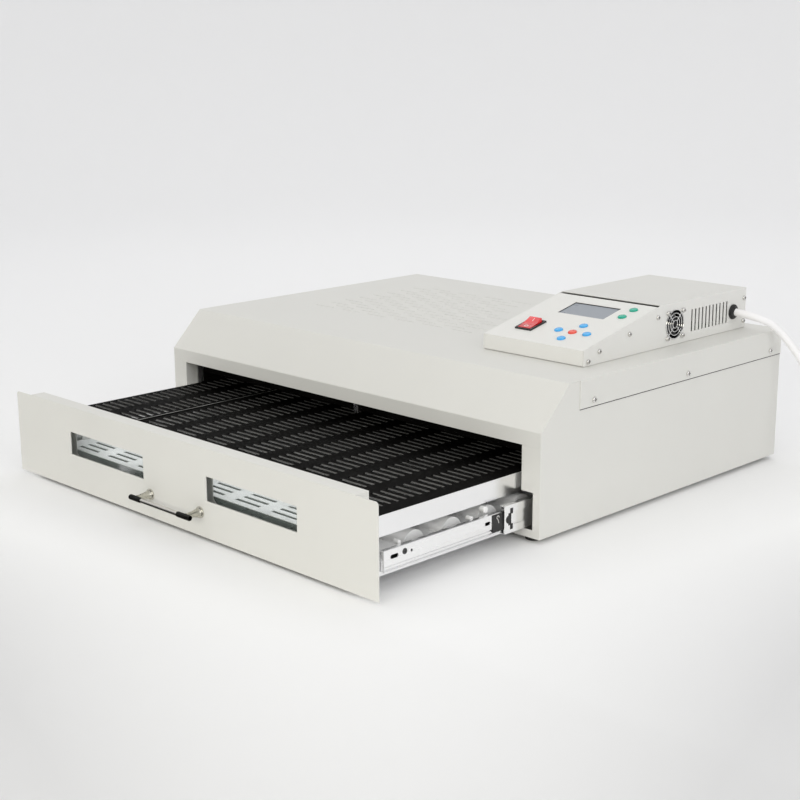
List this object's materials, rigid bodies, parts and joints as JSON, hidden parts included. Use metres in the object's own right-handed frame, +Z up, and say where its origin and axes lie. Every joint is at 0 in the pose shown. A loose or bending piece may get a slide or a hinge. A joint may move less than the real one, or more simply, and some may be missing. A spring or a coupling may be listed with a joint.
{
  "type": "reflow oven",
  "caption": "Benchtop infrared reflow oven: sheet-metal body, windowed drawer with slotted tray on telescopic slides, sloped control box on top, mains cord.",
  "frame": {"origin": "on the surface the feet stand on, under the middle of the oven's box without its cord, with the drawer open as stored", "axes": "+Y from the drawer's face to the rear panel, +Z up, +X to the right as seen from the front"},
  "size_m": [0.8843, 0.913, 0.2327],
  "materials": {
    "body_paint": "satin powder coat",
    "rubber_foot": "matte",
    "nickel_screw": "nickel plated",
    "black_enamel": "semi-gloss heat-proof enamel",
    "polished_aluminium": "polished reflector sheet",
    "quartz_tube": "frosted quartz",
    "ceramic": "glazed ceramic",
    "insulation": "needled wool",
    "black_plastic": "moulded",
    "chrome_wire": "bright wire",
    "zinc_steel": "bright zinc plate",
    "window_glass": "clear",
    "chrome_handle": "polished",
    "black_grip": "black, knurled",
    "brushed_plate": "brushed",
    "display_screen": "grey-blue liquid crystal",
    "rocker_red": "translucent red",
    "button_blue": "satin",
    "button_red": "satin",
    "button_green": "satin",
    "circuit_board": "solder mask",
    "white_cord": "soft PVC sheath"
  },
  "bodies": {
    "body": {"base_pan": "body_paint", "side_panel_left": "body_paint", "side_panel_right": "body_paint", "top_cover": "body_paint", "rear_panel": "body_paint", "feet": "rubber_foot", "body_screws": "nickel_screw", "chamber_liner": "black_enamel", "upper_reflector": "polished_aluminium", "heater_tubes": "quartz_tube", "tube_caps": "ceramic", "insulation_blanket": "insulation", "thermocouple": "nickel_screw", "exhaust_fan_frame": "black_plastic", "exhaust_fan_guard": "chrome_wire", "slide_brackets": "zinc_steel", "slide_outer_left": "zinc_steel", "slide_outer_right": "zinc_steel", "control_housing": "body_paint", "control_panel": "body_paint", "control_cover": "body_paint", "display_module": "display_screen", "switch_housing": "black_plastic", "control_board": "circuit_board", "cooling_fan_frame": "black_plastic", "cooling_fan_guard": "chrome_wire", "control_screws": "nickel_screw", "cable_gland": "black_plastic", "power_cord": "white_cord", "cord_coil": "white_cord", "plug": "white_cord"},
    "drawer": {"slide_inner_left": "zinc_steel", "slide_inner_right": "zinc_steel", "slide_levers": "black_plastic", "drawer_front": "body_paint", "drawer_front_frame": "body_paint", "window_glass_left": "window_glass", "window_glass_right": "window_glass", "handle_bar": "chrome_handle", "handle_posts": "chrome_handle", "handle_grips": "black_grip", "drawer_tub": "zinc_steel", "tray_sides": "polished_aluminium", "solder_tray": "black_enamel", "lower_plate": "brushed_plate", "side_reflectors": "polished_aluminium", "drawer_screws": "nickel_screw"},
    "slide_middles": {"slide_middle_left": "zinc_steel", "slide_middle_right": "zinc_steel", "slide_retainers": "black_plastic"},
    "rocker": {"rocker": "rocker_red"},
    "exhaust_rotor": {"exhaust_fan_rotor": "black_plastic"},
    "cooling_rotor": {"cooling_fan_rotor": "black_plastic"},
    "button_up": {"button_up": "button_blue"},
    "button_down": {"button_down": "button_blue"},
    "button_left": {"button_left": "button_blue"},
    "button_right": {"button_right": "button_blue"},
    "button_ok": {"button_ok": "button_red"},
    "button_start": {"button_start": "button_green"},
    "button_stop": {"button_stop": "button_green"}
  },
  "joints": [
    {"name": "drawer_slide", "type": "slide", "parent": "body", "child": "drawer", "axis": [0, -1, 0], "range_m": [-0.2505, 0.1495]},
    {"name": "middle_slide", "type": "slide", "parent": "body", "child": "slide_middles", "axis": [0, -1, 0], "range_m": [-0.0475, 0.0285]},
    {"name": "power_rocker", "type": "hinge", "parent": "body", "child": "rocker", "pos_m": [0.1818, 0.05676, 0.20709], "axis": [-1, 0, 0], "range_deg": [0, 20]},
    {"name": "exhaust_fan_spin", "type": "hinge", "parent": "body", "child": "exhaust_rotor", "pos_m": [0, 0.3703, 0.098], "axis": [0, 1, 0], "continuous": true},
    {"name": "cooling_fan_spin", "type": "hinge", "parent": "body", "child": "cooling_rotor", "pos_m": [0.293, 0.1963, 0.2055], "axis": [1, 0, 0], "continuous": true},
    {"name": "button_up_press", "type": "slide", "parent": "body", "child": "button_up", "axis": [0, 0.2194, -0.9756], "range_m": [0, 0.001], "stiffness_N_per_m": 200},
    {"name": "button_down_press", "type": "slide", "parent": "body", "child": "button_down", "axis": [0, 0.2194, -0.9756], "range_m": [0, 0.001], "stiffness_N_per_m": 200},
    {"name": "button_left_press", "type": "slide", "parent": "body", "child": "button_left", "axis": [0, 0.2194, -0.9756], "range_m": [0, 0.001], "stiffness_N_per_m": 200},
    {"name": "button_right_press", "type": "slide", "parent": "body", "child": "button_right", "axis": [0, 0.2194, -0.9756], "range_m": [0, 0.001], "stiffness_N_per_m": 200},
    {"name": "button_ok_press", "type": "slide", "parent": "body", "child": "button_ok", "axis": [0, 0.2194, -0.9756], "range_m": [0, 0.001], "stiffness_N_per_m": 200},
    {"name": "button_start_press", "type": "slide", "parent": "body", "child": "button_start", "axis": [0, 0.2194, -0.9756], "range_m": [0, 0.001], "stiffness_N_per_m": 200},
    {"name": "button_stop_press", "type": "slide", "parent": "body", "child": "button_stop", "axis": [0, 0.2194, -0.9756], "range_m": [0, 0.001], "stiffness_N_per_m": 200}
  ],
  "couplings": [
    {"joint": "middle_slide", "follows": "drawer_slide", "ratio": 0.1892}
  ]
}
